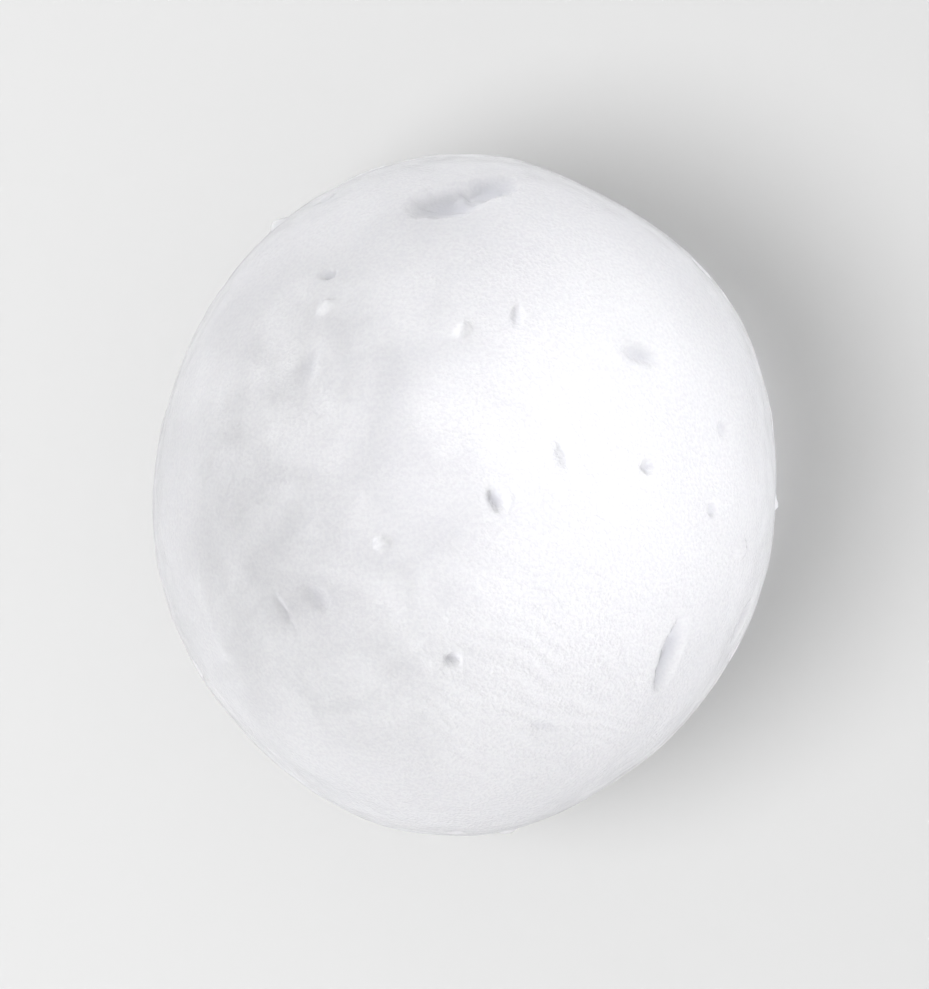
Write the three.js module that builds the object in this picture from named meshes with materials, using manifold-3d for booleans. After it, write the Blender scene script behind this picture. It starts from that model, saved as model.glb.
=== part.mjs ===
// One ball of clear drinking ice, about 60 mm across, of the kind that fails inspection for its shape.
// It is one solid piece: longer one way than the other, with soft swells and hollows all over, a chipped shoulder,
// a gouge, shallow dents, pinholes, and a few crumbs of rime frozen to its skin. It rests on a small flat that
// melted where it lay. Millimetres, +Z up; the origin is under the middle of the ball, in the plane of that flat.
import * as THREE from "three";
import { mergeVertices } from "three/addons/utils/BufferGeometryUtils.js";
import Module from "manifold-3d";

const wasm = await Module();
wasm.setup();

// Driving dimensions.
const width = 56.2; // along X
const length = 62.0; // along Y, the long way
const height = 58.8; // along Z, before the resting flat melted away
const seatRadius = 7.5; // of the resting flat
const skinDetail = 12; // how often each edge of the icosahedron behind the skin is split
const smallMark = { around: 8, down: 4 }; // facets of the tools that cut pinholes and raise crumbs
const largeMark = { around: 14, down: 6 }; // and of those for marks longer than fineFrom
const fineFrom = 2.9;

const half = new THREE.Vector3(width, length, height).multiplyScalar(0.5);
const meanRadius = (half.x + half.y + half.z) / 3;
const seatDepth = half.z * Math.sqrt(1 - (seatRadius / meanRadius) ** 2); // from the ball's centre down to the flat

// Swells and hollows of the skin. around: degrees from +X, counterclockwise seen from above. up: degrees above the
// widest level. reach: how far over the skin the change spreads. rise: height at its middle, negative for a hollow.
const swells = [
  { around: 35, up: 8, reach: 11, rise: 0.65 },
  { around: 64, up: 5, reach: 9, rise: -0.55 },
  { around: -58, up: 6, reach: 12, rise: -1.0 },
  { around: -28, up: 14, reach: 9, rise: -0.5 },
  { around: 188, up: 4, reach: 14, rise: 0.55 },
  { around: 122, up: 38, reach: 12, rise: -0.4 },
  { around: 248, up: 42, reach: 13, rise: 0.35 },
  { around: 70, up: 68, reach: 11, rise: -0.3 },
  { around: 40, up: -42, reach: 14, rise: -0.7 },
  { around: 100, up: -22, reach: 11, rise: 0.4 },
  { around: 152, up: -38, reach: 13, rise: -0.6 },
  { around: 215, up: -30, reach: 12, rise: 0.4 },
  { around: 284, up: -40, reach: 14, rise: -0.65 },
  { around: 335, up: -28, reach: 11, rise: 0.45 },
];

// Marks on the upper side, placed by where they lie seen from above: x and y from the ball's middle. long and wide
// are the mark's mouth, deep is its depth, and turn is the angle of its long way from +X, in degrees.
const upperMarks = [
  { x: -1.6, y: 25.9, long: 8.6, wide: 6.4, deep: 1.3, turn: 18 }, // chipped shoulder
  { x: 2.6, y: 27.4, long: 5.0, wide: 3.6, deep: 0.8, turn: 30 }, // the chip's shallow end
  { x: 17.8, y: -14.0, long: 7.4, wide: 2.2, deep: 0.9, turn: 73 }, // gouge
  { x: 14.9, y: 12.0, long: 5.0, wide: 2.2, deep: 0.5, turn: -5 },
  { x: -13.7, y: 11.0, long: 3.8, wide: 2.6, deep: 0.45, turn: 70 },
  { x: -12.6, y: -8.6, long: 3.6, wide: 2.4, deep: 0.4, turn: -40 },
  { x: -15.6, y: -9.6, long: 4.8, wide: 1.0, deep: 0.35, turn: -60 },
  { x: 8.0, y: 3.4, long: 3.2, wide: 1.5, deep: 0.3, turn: 108 },
  { x: 4.2, y: 15.3, long: 2.8, wide: 1.2, deep: 0.35, turn: 80 },
  { x: 2.4, y: -0.3, long: 2.1, wide: 1.4, deep: 0.9, turn: 115 },
  { x: 20.9, y: -1.2, long: 1.3, wide: 1.2, deep: 0.7, turn: 0 },
  { x: 22.0, y: 5.8, long: 1.6, wide: 1.3, deep: 0.5, turn: 40 },
  { x: 15.2, y: 2.5, long: 1.7, wide: 1.2, deep: 0.5, turn: 15 },
  { x: -12.1, y: 19.3, long: 1.8, wide: 1.3, deep: 0.6, turn: 0 },
  { x: -1.2, y: -13.6, long: 1.3, wide: 1.2, deep: 0.6, turn: 0 },
  { x: 6.5, y: -19.5, long: 3.6, wide: 1.4, deep: 0.3, turn: -14 },
];

// Marks all round the lower side, spread on a spiral so that none crowd. Every dentEvery-th one is a broad dent and
// the others are pinholes. highest and lowest are shares of the radius; wide and deep are shares of long.
const lowerMarks = { count: 42, highest: 0.3, lowest: -0.9, dentEvery: 6 };
const pinhole = { long: [1.1, 1.9], wide: 0.85, deep: 0.42 };
const dent = { long: [3.4, 5.8], wide: 0.55, deep: 0.12 };

// Crumbs of rime on the upper side, as the marks above, and on the lower side, as the marks there.
const upperRime = [
  { x: 23.7, y: -4.7, long: 2.3, wide: 1.9, high: 0.5, turn: 0 },
  { x: -0.4, y: 14.1, long: 2.0, wide: 1.7, high: 0.45, turn: 20 },
  { x: -7.0, y: -4.0, long: 1.9, wide: 1.5, high: 0.4, turn: 60 },
  { x: -12.1, y: 16.3, long: 2.2, wide: 1.6, high: 0.45, turn: 30 },
];
const lowerRime = { count: 9, highest: 0.25, lowest: -0.8 };
const crumb = { long: [1.4, 2.6], wide: 0.8, high: 0.2 };

const goldenAngle = Math.PI * (3 - Math.sqrt(5));

// A fixed scatter between 0 and 1 for item k, different for each salt.
function scatter(k, salt) {
  const wave = Math.sin(k * 12.9898 + salt * 78.233) * 43758.5453;
  return wave - Math.floor(wave);
}

function between([low, high], share) {
  return low + (high - low) * share;
}

function directionAt(around, up) {
  const level = THREE.MathUtils.degToRad(around);
  const rise = THREE.MathUtils.degToRad(up);
  return new THREE.Vector3(Math.cos(rise) * Math.cos(level), Math.cos(rise) * Math.sin(level), Math.sin(rise));
}

// Distance from the ball's centre to its skin along a unit direction: an ellipsoid's, plus a bell for each swell.
function skinRadius(direction) {
  let radius = 1 / direction.clone().divide(half).length();
  for (const { around, up, reach, rise } of swells) {
    const arc = direction.angleTo(directionAt(around, up)) * meanRadius;
    radius += rise * Math.exp(-((arc / reach) ** 2));
  }
  return radius;
}

function skinPoint(direction) {
  return direction.clone().multiplyScalar(skinRadius(direction));
}

// Outward normal of the skin, from two short steps along it.
function skinNormal(direction) {
  const step = 0.02;
  const aside = Math.abs(direction.z) < 0.9 ? new THREE.Vector3(0, 0, 1) : new THREE.Vector3(1, 0, 0);
  const first = new THREE.Vector3().crossVectors(aside, direction).normalize();
  const second = new THREE.Vector3().crossVectors(direction, first);
  const here = skinPoint(direction);
  const alongFirst = skinPoint(direction.clone().addScaledVector(first, step).normalize()).sub(here);
  const alongSecond = skinPoint(direction.clone().addScaledVector(second, step).normalize()).sub(here);
  return alongFirst.cross(alongSecond).normalize();
}

// The direction from the centre to the point of the upper skin that lies over (x, y).
function directionOver(x, y) {
  const z = half.z * Math.sqrt(1 - (x / half.x) ** 2 - (y / half.y) ** 2);
  return new THREE.Vector3(x, y, z).normalize();
}

// Directions on a spiral from highest down to lowest, each nudged off the line.
function spiralDirections({ count, highest, lowest }, salt) {
  return Array.from({ length: count }, (_, k) => {
    const z = between([highest, lowest], (k + scatter(k, salt)) / count);
    const turn = k * goldenAngle + (scatter(k, salt + 1) - 0.5) * 0.9;
    const ring = Math.sqrt(1 - z * z);
    return new THREE.Vector3(ring * Math.cos(turn), ring * Math.sin(turn), z);
  });
}

function solidOf(geometry) {
  const bare = geometry.clone();
  bare.deleteAttribute("normal");
  bare.deleteAttribute("uv");
  const merged = mergeVertices(bare, 1e-4);
  const vertProperties = new Float32Array(merged.attributes.position.array);
  const triVerts = new Uint32Array(merged.index.array);
  return new wasm.Manifold(new wasm.Mesh({ numProp: 3, vertProperties, triVerts }));
}

function geometryOf(solid) {
  const { vertProperties, triVerts } = solid.getMesh();
  const geometry = new THREE.BufferGeometry();
  geometry.setAttribute("position", new THREE.BufferAttribute(new Float32Array(vertProperties), 3));
  geometry.setIndex(new THREE.BufferAttribute(new Uint32Array(triVerts), 1));
  return geometry;
}

// The whole skin: an icosahedral sphere with every vertex moved out to the skin's radius.
function skinSolid() {
  const geometry = new THREE.IcosahedronGeometry(1, skinDetail);
  const position = geometry.attributes.position;
  const vertex = new THREE.Vector3();
  for (let i = 0; i < position.count; i++) {
    vertex.copy(skinPoint(vertex.fromBufferAttribute(position, i).normalize()));
    position.setXYZ(i, vertex.x, vertex.y, vertex.z);
  }
  return solidOf(geometry);
}

// Everything below the plane of the resting flat.
function meltedAway() {
  const side = 3 * meanRadius;
  const box = new THREE.BoxGeometry(side, side, side);
  box.translate(0, 0, -seatDepth - side / 2);
  return solidOf(box);
}

// The tangent of the skin that points along turn degrees from +X: seen from above on the upper side, and within the
// skin itself on the lower side, where nothing is seen from above.
function tangentAt(direction, turn) {
  const normal = skinNormal(direction);
  const flat = directionAt(turn, 0);
  if (direction.z > 0.3) flat.z = -flat.dot(normal) / normal.z;
  else flat.addScaledVector(normal, -flat.dot(normal));
  return flat.normalize();
}

// An ellipsoid laid on the skin: long and wide across its mouth, and reaching thick below and above it.
function ellipsoidOnSkin({ direction, long, wide, thick, turn }) {
  const { around, down } = long >= fineFrom ? largeMark : smallMark;
  const geometry = new THREE.SphereGeometry(1, around, down);
  geometry.rotateX(Math.PI / 2); // its poles go along the normal, so its mouth is an even ring
  geometry.scale(long / 2, wide / 2, thick);
  const along = tangentAt(direction, turn);
  const normal = skinNormal(direction);
  const across = new THREE.Vector3().crossVectors(normal, along);
  const place = new THREE.Matrix4().makeBasis(along, across, normal).setPosition(skinPoint(direction));
  geometry.applyMatrix4(place);
  return solidOf(geometry);
}

function markTools() {
  const upper = upperMarks.map(({ x, y, deep, ...mouth }) =>
    ellipsoidOnSkin({ direction: directionOver(x, y), thick: deep, ...mouth }),
  );
  const lower = spiralDirections(lowerMarks, 1).map((direction, k) => {
    const shape = k % lowerMarks.dentEvery === 0 ? dent : pinhole;
    const long = between(shape.long, scatter(k, 3));
    const turn = 180 * scatter(k, 4);
    return ellipsoidOnSkin({ direction, long, wide: long * shape.wide, thick: long * shape.deep, turn });
  });
  return [...upper, ...lower];
}

function rimeCrumbs() {
  const upper = upperRime.map(({ x, y, high, ...foot }) =>
    ellipsoidOnSkin({ direction: directionOver(x, y), thick: high, ...foot }),
  );
  const lower = spiralDirections(lowerRime, 11).map((direction, k) => {
    const long = between(crumb.long, scatter(k, 13));
    const turn = 180 * scatter(k, 14);
    return ellipsoidOnSkin({ direction, long, wide: long * crumb.wide, thick: long * crumb.high, turn });
  });
  return [...upper, ...lower];
}

function iceBallGeometry() {
  let ball = skinSolid();
  for (const crumbSolid of rimeCrumbs()) ball = ball.add(crumbSolid);
  for (const tool of markTools()) ball = ball.subtract(tool);
  ball = ball.subtract(meltedAway());
  const geometry = geometryOf(ball);
  geometry.computeBoundingBox();
  const middle = geometry.boundingBox.getCenter(new THREE.Vector3());
  geometry.translate(-middle.x, -middle.y, seatDepth);
  return geometry;
}

const clearIce = new THREE.MeshStandardMaterial({
  color: 0xe9eff5,
  roughness: 0.38,
  metalness: 0,
  transparent: true,
  opacity: 0.55,
});

const iceBall = new THREE.Mesh(iceBallGeometry(), clearIce);
iceBall.name = "ice_ball";

const part = new THREE.Group();
part.add(iceBall);

export default part;
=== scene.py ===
import itertools
import math

import bpy
import numpy as np
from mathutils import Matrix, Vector


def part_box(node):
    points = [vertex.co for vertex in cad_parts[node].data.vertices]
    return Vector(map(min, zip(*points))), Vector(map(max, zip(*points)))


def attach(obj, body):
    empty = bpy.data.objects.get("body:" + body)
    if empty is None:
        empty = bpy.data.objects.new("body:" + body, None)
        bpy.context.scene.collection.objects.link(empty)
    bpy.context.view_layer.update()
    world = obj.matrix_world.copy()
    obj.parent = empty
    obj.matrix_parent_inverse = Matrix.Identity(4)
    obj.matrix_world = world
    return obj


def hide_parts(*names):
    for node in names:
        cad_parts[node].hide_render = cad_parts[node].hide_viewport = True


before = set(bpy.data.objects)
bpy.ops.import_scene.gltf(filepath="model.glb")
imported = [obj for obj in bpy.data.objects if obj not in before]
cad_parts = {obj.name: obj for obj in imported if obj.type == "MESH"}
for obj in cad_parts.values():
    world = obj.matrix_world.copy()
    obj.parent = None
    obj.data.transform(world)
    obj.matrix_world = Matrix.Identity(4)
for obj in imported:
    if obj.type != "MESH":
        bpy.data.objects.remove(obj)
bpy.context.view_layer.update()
print("frame loaded:", sorted(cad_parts))

mm = 0.001  # the ball is worked out in millimetres, and turned into metres at the end

ball = {
    "size": (56.2, 62.0, 58.8),  # width, length and height of the plain ellipsoid
    "seatRadius": 7.5,  # of the flat that it melted for itself
    "seatRounding": 0.45,  # how softly the flat's rim turns up
    "grid": 128,  # squares along each side of the six grids that wrap the ball
    "closerAbove": 0.16,  # how much closer the grid is drawn on the upper side
    # swells and hollows: degrees round from +X, degrees up from the widest level, reach over the skin, rise
    "swells": [
        (35, 8, 11, 0.65),
        (64, 5, 9, -0.55),
        (-58, 6, 12, -1.0),
        (-28, 14, 9, -0.5),
        (188, 4, 14, 0.55),
        (122, 38, 12, -0.4),
        (248, 42, 13, 0.35),
        (70, 68, 11, -0.3),
        (40, -42, 14, -0.7),
        (100, -22, 11, 0.4),
        (152, -38, 13, -0.6),
        (215, -30, 12, 0.4),
        (284, -40, 14, -0.65),
        (335, -28, 11, 0.45),
    ],
    # uneven skin under the hand: size of the lumps, their height
    "unevenness": [(15.0, 0.16), (6.0, 0.10), (2.4, 0.050), (1.2, 0.020)],
    # waves left by melting: degrees round, degrees up, reach, pitch, height
    "waves": [(-72, 52, 11.0, 1.8, 0.06), (150, -10, 9.0, 2.1, 0.035), (20, -35, 10.0, 1.9, 0.04)],
    "waveSlant": 0.25,  # how much the waves lean from level
    "waveWander": (5.0, 2.2),  # size of what pushes them about, how far it pushes
    "seed": 11,
    "waveSeed": 40,
    "marks": {
        # upper side, seen from above: x, y, long, wide, deep, degrees of its long way from +X
        "upper": [
            (-1.6, 25.9, 8.6, 6.4, 1.2, 18),  # chipped shoulder
            (2.0, 27.1, 5.6, 4.2, 0.9, 30),  # the chip's shallow end
            (17.6, -13.6, 7.8, 2.9, 0.9, 73),  # gouge
            (14.9, 12.0, 5.0, 2.2, 0.5, -5),
            (-13.7, 11.0, 3.8, 2.6, 0.3, 70),
            (-12.6, -8.6, 3.6, 2.4, 0.28, -40),
            (-15.6, -9.6, 4.8, 1.0, 0.24, -60),
            (8.0, 3.4, 3.2, 1.5, 0.3, 108),
            (4.2, 15.3, 2.8, 1.2, 0.35, 80),
            (2.4, -0.3, 1.9, 1.3, 0.75, 115),
            (20.9, -1.2, 1.3, 1.2, 0.7, 0),
            (22.0, 5.8, 1.6, 1.3, 0.5, 40),
            (15.2, 2.5, 1.7, 1.2, 0.5, 15),
            (-12.1, 19.3, 1.8, 1.3, 0.6, 0),
            (-1.2, -13.6, 1.3, 1.2, 0.6, 0),
            (6.5, -19.5, 3.6, 1.4, 0.3, -14),
        ],
        # lower side: how many, from how high to how low (shares of the radius), every which one is a dent
        "lower": {"count": 42, "highest": 0.3, "lowest": -0.9, "dentEvery": 6},
        "pinhole": {"long": (1.1, 1.9), "wide": 0.85, "deep": 0.42},  # wide and deep are shares of long
        "dent": {"long": (3.4, 5.8), "wide": 0.55, "deep": 0.12},
        "ragged": [(1.0, 0.14), (2.8, 0.15)],  # how the rims wander: size, how far as a share of the mark
        "steepWall": 0.55,  # power of a deep mark's wall
        "easyWall": 1.15,  # power of a shallow mark's wall
        "deepFrom": 0.14,  # deep over long, from which a mark counts as deep
        "facets": (2.4, 0.24),  # broken faces inside a mark: their size, their height over the mark's depth
        # the two below shape each mark's share of bare ice, which also sets how much painted shade darkens
        # its colour
        "fullyBareAt": 0.85,  # depth from which a mark's ice is bare of frost
        "bareFade": 1.4,  # power of how the frost comes back towards the rim
        "seed": 60,
        "facetSeed": 65,
    },
    "rime": {
        # upper side: x, y, long, wide, high, degrees
        "upper": [
            (23.7, -4.7, 2.3, 1.9, 0.5, 0),
            (-0.4, 14.1, 2.0, 1.7, 0.45, 20),
            (-7.0, -4.0, 1.9, 1.5, 0.4, 60),
            (-12.1, 16.3, 2.2, 1.6, 0.45, 30),
        ],
        "lower": {"count": 9, "highest": 0.25, "lowest": -0.8},
        "crumb": {"long": (1.4, 2.6), "wide": 0.8, "high": 0.2},
        "grain": (0.7, 0.8),  # size of the grains that roughen a crumb, how much of its height they take
        "raggedMore": 1.8,  # a crumb's rim wanders this much more than a mark's
        "seed": 70,
    },
    "frost": {
        # cover of the frost that lies on the skin: size of its patches, how much each size counts
        "patches": [(8.5, 0.34), (3.4, 0.26), (1.5, 0.20)],
        "middle": 0.38,  # cover where the patches even out
        # where it lies thicker: degrees round, degrees up, reach, how much
        "drifts": [(16, 58, 18.0, 0.6), (282, 22, 26.0, 0.5)],
        "seed": 83,
    },
}

marks, rime, frost = ball["marks"], ball["rime"], ball["frost"]
half = np.array(ball["size"]) / 2
meanRadius = half.mean()
seatDepth = half[2] * math.sqrt(1 - (ball["seatRadius"] / meanRadius) ** 2)
goldenAngle = math.pi * (3 - math.sqrt(5))
upperSideFrom = 0.3  # height on the unit sphere, above which a mark's turn is read from straight above
layerShift = (31.7, 11.3)  # moves each next size of noise off the one before: on the skin, in the frost
farSide = 9.0  # mouths across, given to every point on the ball's other side
tableSize = 4096  # rows in a noise's table of fixed slopes and spots
cornerPrimes = np.array([73856093, 19349663, 83492791])  # large primes that keep neighbouring corners apart
sineSteps = (12.9898, 78.233)  # steps along a sine, for each item and for each use
sineScale = 43758.5453  # brings its small changes up in front of the point
noiseGain = 1.6  # brings gradient noise up to about -1 to 1
facetLift = 0.4  # how far a facet's plane may lie above or below the middle


def unit(v):
    # v over its own length, row by row
    return v / np.linalg.norm(v, axis=-1, keepdims=True)


def directionAt(around, up):
    # (cos up cos around, cos up sin around, sin up), from degrees
    a, e = math.radians(around), math.radians(up)
    return np.array([math.cos(e) * math.cos(a), math.cos(e) * math.sin(a), math.sin(e)])


def scatter(k, salt):
    # the fraction part of a large sine: a fixed number between 0 and 1 for item k
    wave = math.sin(k * sineSteps[0] + salt * sineSteps[1]) * sineScale
    return wave - math.floor(wave)


def between(ends, share):
    # the first end plus its share of the way to the second
    return ends[0] + (ends[1] - ends[0]) * share


def cornerKey(corner):
    # a fixed row of the tables for every whole-number corner of space: its numbers times the primes, mixed
    # bit by bit
    return np.bitwise_xor.reduce(corner * cornerPrimes, axis=1) % tableSize


def gradientNoise(points, seed):
    # one fixed slope at every whole-number corner; each point sums its eight corners' slopes times the way
    # from them, weighted by 6t^5 - 15t^4 + 10t^3 along each axis. Runs from about -1 to 1.
    slopes = unit(np.random.default_rng(seed).normal(size=(tableSize, 3)))
    cell = np.floor(points).astype(np.int64)
    local = points - cell
    fade = local ** 3 * (local * (local * 6 - 15) + 10)
    total = np.zeros(len(points))
    for corner in itertools.product((0, 1), repeat=3):
        weight = np.prod(np.where(corner, fade, 1 - fade), axis=1)
        total += weight * np.einsum("ij,ij->i", slopes[cornerKey(cell + corner)], local - corner)
    return total * noiseGain


def facetNoise(points, seed):
    # one spot, slope and height in every whole-number cell; each point reads the plane of the spot nearest to
    # it, slope . way + height, so that flat faces meet at sharp edges. Runs from about -1 to 1.
    random = np.random.default_rng(seed)
    spots = random.random((tableSize, 3))
    slopes = unit(random.normal(size=(tableSize, 3)))
    heights = random.uniform(-facetLift, facetLift, tableSize)
    cell = np.floor(points).astype(np.int64)
    nearest = np.full(len(points), np.inf)
    value = np.zeros(len(points))
    for corner in itertools.product((-1, 0, 1), repeat=3):
        key = cornerKey(cell + corner)
        way = points - (cell + corner + spots[key])
        far = np.einsum("ij,ij->i", way, way)
        value = np.where(far < nearest, np.einsum("ij,ij->i", slopes[key], way) + heights[key], value)
        nearest = np.minimum(nearest, far)
    return value


def arcFrom(directions, around, up):
    # millimetres over the skin from a place given in degrees: the angle between, times the mean radius
    return np.arccos(np.clip(directions @ directionAt(around, up), -1, 1)) * meanRadius


def skinRadius(directions):
    # an ellipsoid's radius along each direction, plus rise * exp(-(arc / reach)^2) for each swell
    radius = 1 / np.linalg.norm(directions / half, axis=1)
    for around, up, reach, rise in ball["swells"]:
        radius += rise * np.exp(-((arcFrom(directions, around, up) / reach) ** 2))
    return radius


def skinPoint(directions):
    # each direction times the skin's radius along it
    return directions * skinRadius(directions)[:, None]


def skinNormal(direction):
    # the cross product of two short steps along the skin
    aside = np.array([0, 0, 1]) if abs(direction[2]) < 0.9 else np.array([1, 0, 0])
    step = 0.02
    first = unit(np.cross(aside, direction))
    second = np.cross(direction, first)
    steps = unit(np.stack([direction, direction + step * first, direction + step * second]))
    here, alongFirst, alongSecond = skinPoint(steps)
    return unit(np.cross(alongFirst - here, alongSecond - here))


def directionOver(x, y):
    # the upper ellipsoid's height over (x, y), as a direction from the centre
    z = half[2] * math.sqrt(1 - (x / half[0]) ** 2 - (y / half[1]) ** 2)
    return unit(np.array([x, y, z]))


def spiralDirections(spread, salt):
    # turn by the golden angle while stepping down evenly, each nudged off the line
    nudge = 0.9  # radians from end to end
    found = []
    for k in range(spread["count"]):
        z = between((spread["highest"], spread["lowest"]), (k + scatter(k, salt)) / spread["count"])
        turn = k * goldenAngle + (scatter(k, salt + 1) - 0.5) * nudge
        ring = math.sqrt(1 - z * z)
        found.append(np.array([ring * math.cos(turn), ring * math.sin(turn), z]))
    return found


def tangentAt(direction, turn):
    # the skin's tangent that points along turn: as seen from above on the upper side, within the skin below
    normal = skinNormal(direction)
    flat = directionAt(turn, 0)
    if direction[2] > upperSideFrom:
        flat[2] = -(flat @ normal) / normal[2]
    else:
        flat = flat - normal * (flat @ normal)
    return unit(flat)


def wrappedGrid(n):
    # six square grids on a cube, spaced by the tangent of equal angles and pushed out to the unit sphere,
    # then drawn a little towards the top: angle from the top less a share of its own sine. Shared edges are
    # welded.
    span = np.tan(np.linspace(-1, 1, n + 1) * math.pi / 4)
    a, b = np.meshgrid(span, span, indexing="ij")
    corner = np.arange((n + 1) ** 2).reshape(n + 1, n + 1)
    square = np.stack([corner[:-1, :-1], corner[1:, :-1], corner[1:, 1:], corner[:-1, 1:]], axis=-1)
    square = square.reshape(-1, 4)
    points, quads = [], []
    for axis in range(3):
        for sign in (1, -1):
            out, right, up = np.zeros(3), np.zeros(3), np.zeros(3)
            out[axis], right[(axis + 1) % 3], up[(axis + 2) % 3] = sign, sign, 1
            quads.append(square + len(points) * (n + 1) ** 2)
            points.append((out + a[..., None] * right + b[..., None] * up).reshape(-1, 3))
    directions = unit(np.concatenate(points))
    kept, index = np.unique(np.round(directions, 7), axis=0, return_inverse=True)
    fromTop = np.arccos(np.clip(kept[:, 2], -1, 1))
    drawn = fromTop - ball["closerAbove"] * np.sin(fromTop)
    level = np.arctan2(kept[:, 1], kept[:, 0])
    kept = np.stack([np.sin(drawn) * np.cos(level), np.sin(drawn) * np.sin(level), np.cos(drawn)], axis=1)
    return unit(kept), index.reshape(-1)[np.concatenate(quads)]


def markRows():
    # every mark as (direction, long, wide, deep, turn): those listed, then the lower side's spiral
    rows = []
    for x, y, long, wide, deep, turn in marks["upper"]:
        rows.append((directionOver(x, y), long, wide, deep, turn))
    for k, direction in enumerate(spiralDirections(marks["lower"], 1)):
        shape = marks["dent"] if k % marks["lower"]["dentEvery"] == 0 else marks["pinhole"]
        long = between(shape["long"], scatter(k, 3))
        rows.append((direction, long, long * shape["wide"], long * shape["deep"], 180 * scatter(k, 4)))
    return rows


def crumbRows():
    # every crumb of rime as (direction, long, wide, high, turn), in the same way
    rows = []
    for x, y, long, wide, high, turn in rime["upper"]:
        rows.append((directionOver(x, y), long, wide, high, turn))
    for k, direction in enumerate(spiralDirections(rime["lower"], 11)):
        long = between(rime["crumb"]["long"], scatter(k, 13))
        wide, high = long * rime["crumb"]["wide"], long * rime["crumb"]["high"]
        rows.append((direction, long, wide, high, 180 * scatter(k, 14)))
    return rows


def mouthDistance(skin, direction, long, wide, turn):
    # how far each skin point lies from the mark's middle, with its rim at 1, and far away on the other side
    along, normal = tangentAt(direction, turn), skinNormal(direction)
    across = np.cross(normal, along)
    way = skin - skinPoint(direction[None])[0]
    rho = np.hypot(way @ along / (long / 2), way @ across / (wide / 2))
    return np.where(skin @ direction > 0, rho, farSide), normal


def roughenedSkin(directions, skin):
    # how far the bare skin lifts: each size of lump is noise of that size times its height, and each patch
    # of waves is a sine whose phase is pushed about by noise, under a bell exp(-(arc / reach)^2)
    lift = np.zeros(len(skin))
    for i, (size, height) in enumerate(ball["unevenness"]):
        lift += height * gradientNoise(skin / size + layerShift[0] * i, ball["seed"] + i)
    size, push = ball["waveWander"]
    for i, (around, up, reach, pitch, height) in enumerate(ball["waves"]):
        phase = skin[:, 1] + ball["waveSlant"] * skin[:, 0]
        phase += push * gradientNoise(skin / size, ball["waveSeed"] + i)
        bell = np.exp(-((arcFrom(directions, around, up) / reach) ** 2))
        lift += height * np.sin(2 * math.pi * phase / pitch) * bell
    return lift


def iceBallSurface():
    # the skin, moved out by its roughness, in by the marks, out by the rime, and cut by the flat under it
    directions, quads = wrappedGrid(ball["grid"])
    skin = skinPoint(directions)
    outward = unit(skin / half ** 2)
    moved = skin + outward * roughenedSkin(directions, skin)[:, None]
    ragged = np.zeros(len(skin))
    for i, (size, far) in enumerate(marks["ragged"]):
        ragged += far * gradientNoise(skin / size, marks["seed"] + i)

    # marks: deep * (1 - rho^2)^wall inside the rim, where rho is warped by noise so that the rim wanders,
    # and the floor is broken into faces
    size, share = marks["facets"]
    broken = 1 + share * facetNoise(skin / size, marks["facetSeed"])
    bareAndShaded = np.zeros(len(skin))
    for direction, long, wide, deep, turn in markRows():
        rho, normal = mouthDistance(skin, direction, long, wide, turn)
        wall = marks["steepWall"] if deep / long > marks["deepFrom"] else marks["easyWall"]
        bowl = np.clip(1 - (rho * (1 + ragged)) ** 2, 0, None) ** wall
        moved -= normal * (deep * bowl * broken)[:, None]
        # each mark's share of bare ice; the same share darkens its base colour with painted shade
        markBareAndShaded = bowl ** marks["bareFade"] * min(1, deep / marks["fullyBareAt"])
        bareAndShaded = np.maximum(bareAndShaded, markBareAndShaded)

    # crumbs of rime: high * (1 - rho^2), roughened by fine noise
    size, share = rime["grain"]
    crumbly = np.clip(1 + share * gradientNoise(skin / size, rime["seed"]), 0, None)
    rimed = np.zeros(len(skin))
    for direction, long, wide, high, turn in crumbRows():
        rho, normal = mouthDistance(skin, direction, long, wide, turn)
        heap = np.clip(1 - (rho * (1 + rime["raggedMore"] * ragged)) ** 2, 0, None) * crumbly
        moved += normal * (high * heap)[:, None]
        rimed = np.maximum(rimed, np.minimum(heap, 1))

    # frost: noise of each size of patch, each with its share, about the middle cover, and a bell for each
    # drift, exp(-(arc / reach)^4)
    cover = np.full(len(skin), frost["middle"])
    for i, (size, share) in enumerate(frost["patches"]):
        cover += share * gradientNoise(skin / size + layerShift[1] * i, frost["seed"] + i)
    for around, up, reach, more in frost["drifts"]:
        cover += more * np.exp(-((arcFrom(directions, around, up) / reach) ** 4))

    # the flat: the height t above its plane, eased to zero as (t + sqrt(t^2 + w^2)) / 2
    t = moved[:, 2] + seatDepth
    moved[:, 2] = (t + np.sqrt(t ** 2 + ball["seatRounding"] ** 2)) / 2
    moved[:, 2] -= moved[:, 2].min()
    return moved, quads, {"bareAndShaded": bareAndShaded, "rimed": rimed, "frosted": np.clip(cover, 0, 1)}


def fitInside(points, low, high):
    # shrink by the tightest of the three ratios, if any is under 1, and stand it in the middle of the box's
    # floor
    size = points.max(axis=0) - points.min(axis=0)
    points = points * min(1.0, *((high - low) / size))
    middle = (points.max(axis=0) + points.min(axis=0)) / 2
    points[:, :2] += (low + high)[:2] / 2 - middle[:2]
    points[:, 2] += low[2] - points[:, 2].min()
    return points


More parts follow.
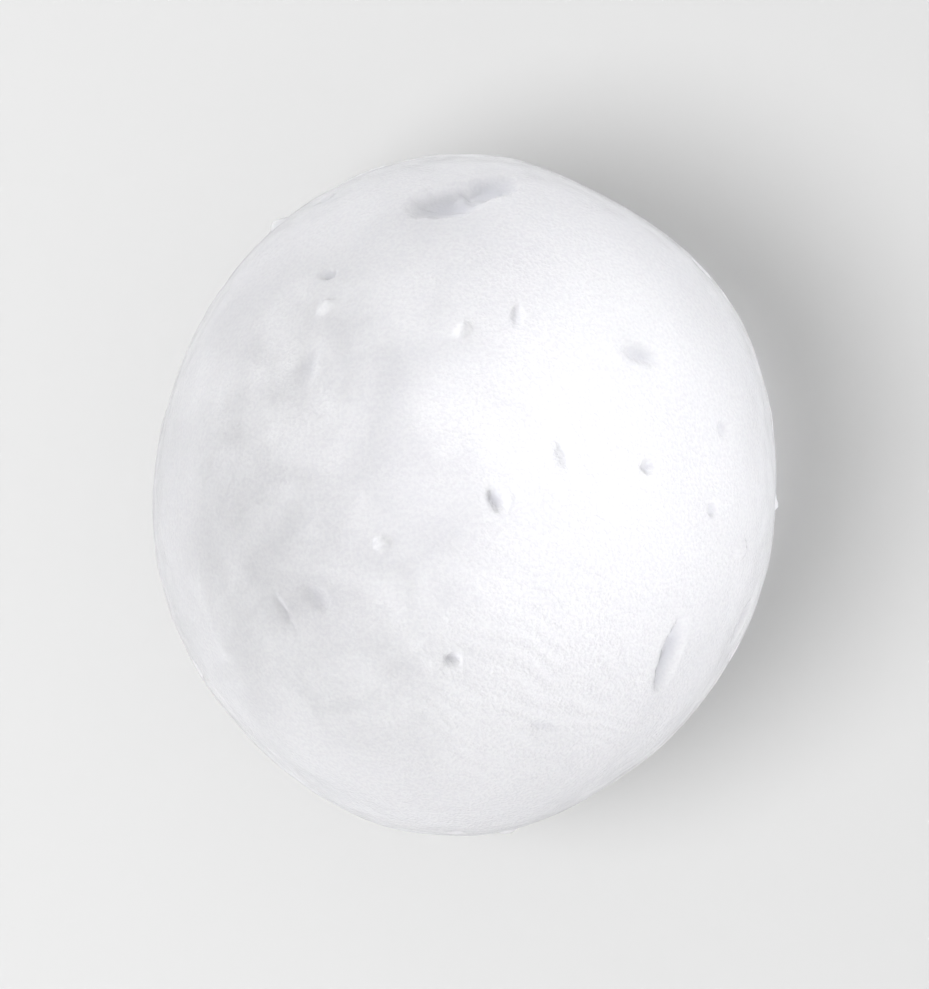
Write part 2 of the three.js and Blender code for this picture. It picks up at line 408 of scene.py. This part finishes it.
def meshFrom(name, points, quads, layers):
    # one four-sided face for every row of quads, and one number a point for every layer
    mesh = bpy.data.meshes.new(name)
    mesh.vertices.add(len(points))
    mesh.vertices.foreach_set("co", points.astype(np.float32).ravel())
    mesh.loops.add(quads.size)
    mesh.loops.foreach_set("vertex_index", quads.astype(np.int32).ravel())
    mesh.polygons.add(len(quads))
    mesh.polygons.foreach_set("loop_start", np.arange(0, quads.size, 4, dtype=np.int32))
    mesh.update(calc_edges=True)
    mesh.validate()
    mesh.polygons.foreach_set("use_smooth", np.ones(len(quads), dtype=bool))
    for layer, values in layers.items():
        mesh.attributes.new(layer, "FLOAT", "POINT").data.foreach_set("value", values.astype(np.float32))
    piece = bpy.data.objects.new(name, mesh)
    bpy.context.scene.collection.objects.link(piece)
    return piece


ice = {
    "tint": (1.0, 1.0, 1.0),
    "grainTint": (0.905, 0.905, 0.92),  # between the grains of frost
    "grainEdges": (0.35, 0.65),  # from between the grains to the grains themselves
    # painted shade: the base colour inside the marks, darkened to stand for the shadowed floor seen through
    # their clearer ice
    "markShadeTint": (0.70, 0.705, 0.745),  # inside the marks
    "ior": 1.31,
    "absorbs": (0.95, 0.95, 1.0),  # the ice takes from the light what this lacks of white
    "absorbsPerMetre": 5.0,
    # how much light goes through, and how rough the skin is
    "transmission": {"clear": 0.89, "frosted": 0.77, "bare": 0.95, "rime": 0.74},
    "roughness": {"clear": 0.29, "frosted": 0.42, "bare": 0.32, "rime": 0.60},
    "specular": 0.25,  # specular level; 0.5 is that of smooth ice
    "mirror": (0.15, 0.15, 0.15),  # specular tint: how much of its mirror image is left, seen face on
    "grain": 0.00032,  # metres across a grain of frost
    "grainDetail": {"Detail": 1.0, "Roughness": 0.6},  # finer grain in it
    "grainShare": 0.5,  # how far the grains break up the edges of the frost
    "grainHeight": 0.00008,
    "grainShows": {"clear": 0.3, "frosted": 1.0},  # share of that height that shows through
}


def nodeIn(tree, kind, **values):
    # a new node with its sockets, or else its own settings, set by name
    node = tree.nodes.new(kind)
    for key, value in values.items():
        if key in node.inputs:
            node.inputs[key].default_value = value
        else:
            setattr(node, key, value)
    return node


def blended(tree, factor, first, second):
    # first + factor * (second - first), where each may be a number or another node's output
    mix = nodeIn(tree, "ShaderNodeMix", data_type="FLOAT")
    for socket, value in zip(("Factor", "A", "B"), (factor, first, second)):
        if isinstance(value, float):
            mix.inputs[socket].default_value = value
        else:
            tree.links.new(value, mix.inputs[socket])
    return mix.outputs["Result"]


def frostedIce():
    # clear ice under a skin of frost that lies in patches, bare inside the marks and darkened there with
    # painted shade, and white on the rime
    material = bpy.data.materials.new("frostedIce")
    material.use_nodes = True
    tree = material.node_tree
    tree.nodes.clear()
    link = tree.links.new
    out = nodeIn(tree, "ShaderNodeOutputMaterial")
    skin = nodeIn(tree, "ShaderNodeBsdfPrincipled", IOR=ice["ior"])
    skin.inputs["Specular IOR Level"].default_value = ice["specular"]
    skin.inputs["Specular Tint"].default_value = (*ice["mirror"], 1)
    link(skin.outputs["BSDF"], out.inputs["Surface"])
    depth = nodeIn(tree, "ShaderNodeVolumeAbsorption", Color=(*ice["absorbs"], 1))
    depth.inputs["Density"].default_value = ice["absorbsPerMetre"]
    link(depth.outputs["Volume"], out.inputs["Volume"])

    place = nodeIn(tree, "ShaderNodeTexCoord")
    grain = nodeIn(tree, "ShaderNodeTexNoise", Scale=1 / ice["grain"], **ice["grainDetail"])
    link(place.outputs["Object"], grain.inputs["Vector"])
    # the marks' share of bare ice, which also carries their painted shade
    bareAndShaded = nodeIn(tree, "ShaderNodeAttribute", attribute_name="bareAndShaded").outputs["Fac"]
    rimed = nodeIn(tree, "ShaderNodeAttribute", attribute_name="rimed").outputs["Fac"]
    frosted = nodeIn(tree, "ShaderNodeAttribute", attribute_name="frosted").outputs["Fac"]

    # the frost's cover, with its edges broken up by the grains: cover + share * (grain - 1/2), eased from 0
    # to 1
    grainy = nodeIn(tree, "ShaderNodeMath", operation="MULTIPLY_ADD")
    link(grain.outputs["Fac"], grainy.inputs[0])
    grainy.inputs[1].default_value = ice["grainShare"]
    grainy.inputs[2].default_value = -ice["grainShare"] / 2
    level = nodeIn(tree, "ShaderNodeMath", operation="ADD")
    link(frosted, level.inputs[0])
    link(grainy.outputs[0], level.inputs[1])
    cover = nodeIn(tree, "ShaderNodeMapRange", interpolation_type="SMOOTHSTEP")
    link(level.outputs[0], cover.inputs["Value"])

    for socket, amounts in (("Transmission Weight", ice["transmission"]), ("Roughness", ice["roughness"])):
        amount = blended(tree, cover.outputs["Result"], amounts["clear"], amounts["frosted"])
        amount = blended(tree, bareAndShaded, amount, amounts["bare"])
        amount = blended(tree, rimed, amount, amounts["rime"])
        link(amount, skin.inputs[socket])

    grainTint = nodeIn(tree, "ShaderNodeValToRGB")
    grainTint.color_ramp.elements[0].color = (*ice["grainTint"], 1)
    grainTint.color_ramp.elements[0].position = ice["grainEdges"][0]
    grainTint.color_ramp.elements[1].color = (*ice["tint"], 1)
    grainTint.color_ramp.elements[1].position = ice["grainEdges"][1]
    link(grain.outputs["Fac"], grainTint.inputs["Fac"])
    # base colour: the frost's grain, then darkened inside the marks with painted shade, by the share of bare
    # ice
    tint = nodeIn(tree, "ShaderNodeMixRGB", Color2=(*ice["markShadeTint"], 1))
    link(bareAndShaded, tint.inputs["Fac"])
    link(grainTint.outputs["Color"], tint.inputs["Color1"])
    link(tint.outputs["Color"], skin.inputs["Base Color"])

    bump = nodeIn(tree, "ShaderNodeBump", Distance=ice["grainHeight"])
    shows = blended(tree, cover.outputs["Result"], ice["grainShows"]["clear"], ice["grainShows"]["frosted"])
    link(shows, bump.inputs["Strength"])
    link(grain.outputs["Fac"], bump.inputs["Height"])
    link(bump.outputs["Normal"], skin.inputs["Normal"])
    return material


studio = {
    "floorColor": (0.42, 0.42, 0.42),
    "floorHalf": 2.0,
    "floorRoughness": 0.9,
    "walls": (1.0, 1.0, 1.0),
    "wallStrength": 1.05,
    # lamps: name, place, width, watts, colour; each one points at the ball's middle
    "lamps": [
        ("windowLeft", (-0.21, -0.06, 0.56), 0.28, 3.6, (1.0, 1.0, 1.0)),
    ],
    "lens": 120.0,
    "sensor": 36.0,
    "viewHeight": 0.09,  # metres seen from side to side of the longer way, at the ball's middle
}


def makeFloor():
    s = studio["floorHalf"]
    mesh = bpy.data.meshes.new("floor")
    mesh.from_pydata([(-s, -s, 0), (s, -s, 0), (s, s, 0), (-s, s, 0)], [], [(0, 1, 2, 3)])
    floor = bpy.data.objects.new("floor", mesh)
    bpy.context.scene.collection.objects.link(floor)
    material = bpy.data.materials.new("paleFloor")
    material.use_nodes = True
    skin = material.node_tree.nodes["Principled BSDF"]
    skin.inputs["Base Color"].default_value = (*studio["floorColor"], 1)
    skin.inputs["Roughness"].default_value = studio["floorRoughness"]
    mesh.materials.append(material)


def makeLights(target):
    for name, place, width, watts, color in studio["lamps"]:
        data = bpy.data.lights.new(name, "AREA")
        data.shape = "DISK"
        data.size = width
        data.energy = watts
        data.color = color
        lamp = bpy.data.objects.new(name, data)
        lamp.location = place
        lamp.rotation_euler = (Vector(target) - Vector(place)).to_track_quat("-Z", "Y").to_euler()
        bpy.context.scene.collection.objects.link(lamp)
    world = bpy.data.worlds.new("studioWalls")
    world.use_nodes = True
    background = world.node_tree.nodes["Background"]
    background.inputs["Color"].default_value = (*studio["walls"], 1)
    background.inputs["Strength"].default_value = studio["wallStrength"]
    bpy.context.scene.world = world


def makeCamera(target):
    # straight above; the distance at which half the view's height fills half the sensor
    data = bpy.data.cameras.new("camera")
    data.lens = studio["lens"]
    data.sensor_width = studio["sensor"]
    camera = bpy.data.objects.new("camera", data)
    distance = studio["viewHeight"] * studio["lens"] / studio["sensor"]
    camera.location = target + np.array([0, 0, distance])
    bpy.context.scene.collection.objects.link(camera)
    bpy.context.scene.camera = camera


cadLow, cadHigh = (np.array(v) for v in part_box("ice_ball"))
points, quads, layers = iceBallSurface()
print("ball worked out:", len(points), "points,", 2 * len(quads), "triangles")
iceBall = meshFrom("iceBall", fitInside(points * mm, cadLow, cadHigh), quads, layers)
iceBall.data.materials.append(frostedIce())
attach(iceBall, "root")
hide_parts("ice_ball")
print("ball made and frosted")

ballMiddle = (cadLow + cadHigh) / 2
makeFloor()
makeLights(ballMiddle)
makeCamera(ballMiddle)
bpy.context.scene.view_settings.view_transform = "Standard"
print("studio set")
